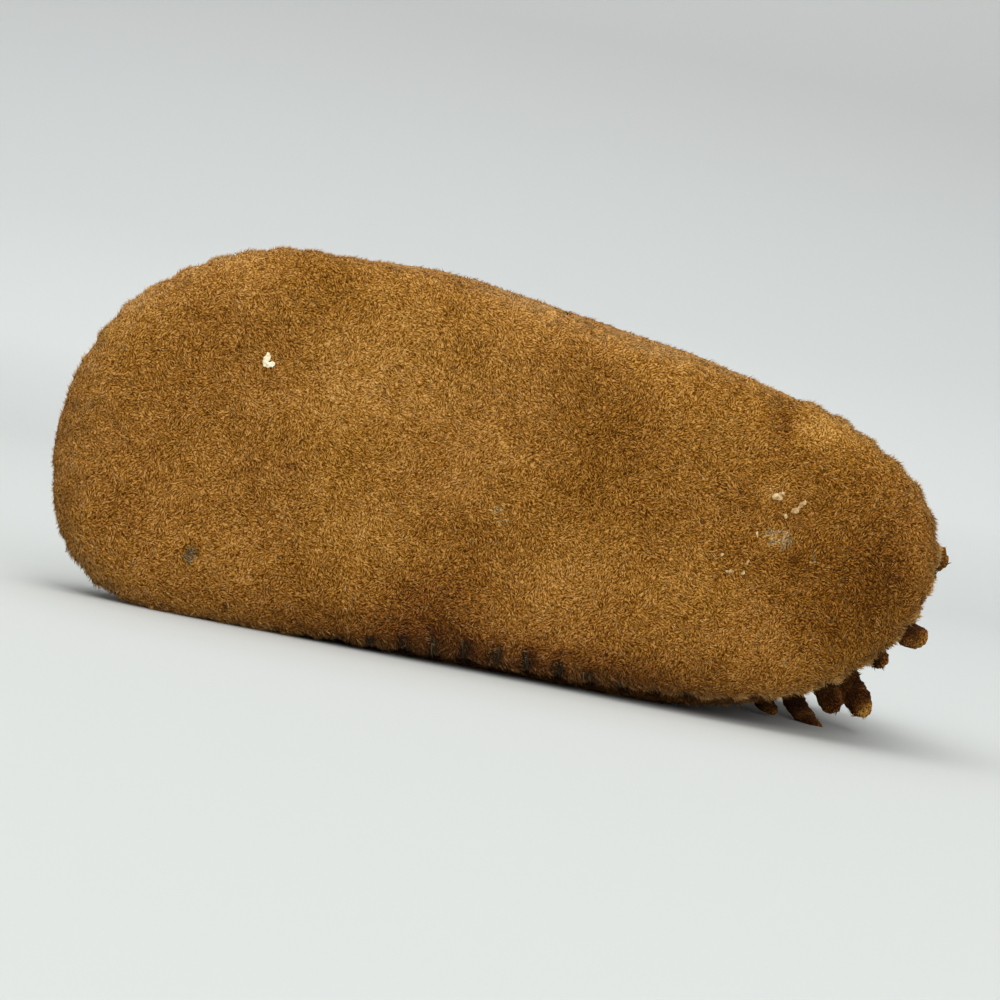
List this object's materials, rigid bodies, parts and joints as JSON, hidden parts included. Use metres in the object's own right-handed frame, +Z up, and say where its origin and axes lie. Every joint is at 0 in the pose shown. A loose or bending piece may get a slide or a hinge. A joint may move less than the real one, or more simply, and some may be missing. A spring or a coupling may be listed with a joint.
{
  "type": "moccasin bootie",
  "caption": "Soft suede moccasin bootie for a toddler's left foot: cupped sole, hollow upper with an open collar, fringed cuff. Lies on its inner side.",
  "frame": {"origin": "middle of the bounding box, on the floor that the bootie lies on", "axes": "+Z up from the floor, towards the outer side of the foot; -X towards the toe; +Y towards the collar, so the sole faces -Y"},
  "size_m": [0.1559, 0.0888, 0.0653],
  "materials": {
    "sole_suede": "rough golden brown suede, napped side out",
    "upper_suede": "rough brown suede, napped side out",
    "fringe_suede": "rough brown suede cut into strips",
    "insole_suede": "plain worn suede"
  },
  "bodies": {
    "root": {"sole": "sole_suede", "upper": "upper_suede", "fringe_cuff": "fringe_suede", "insole": "insole_suede"}
  },
  "joints": []
}
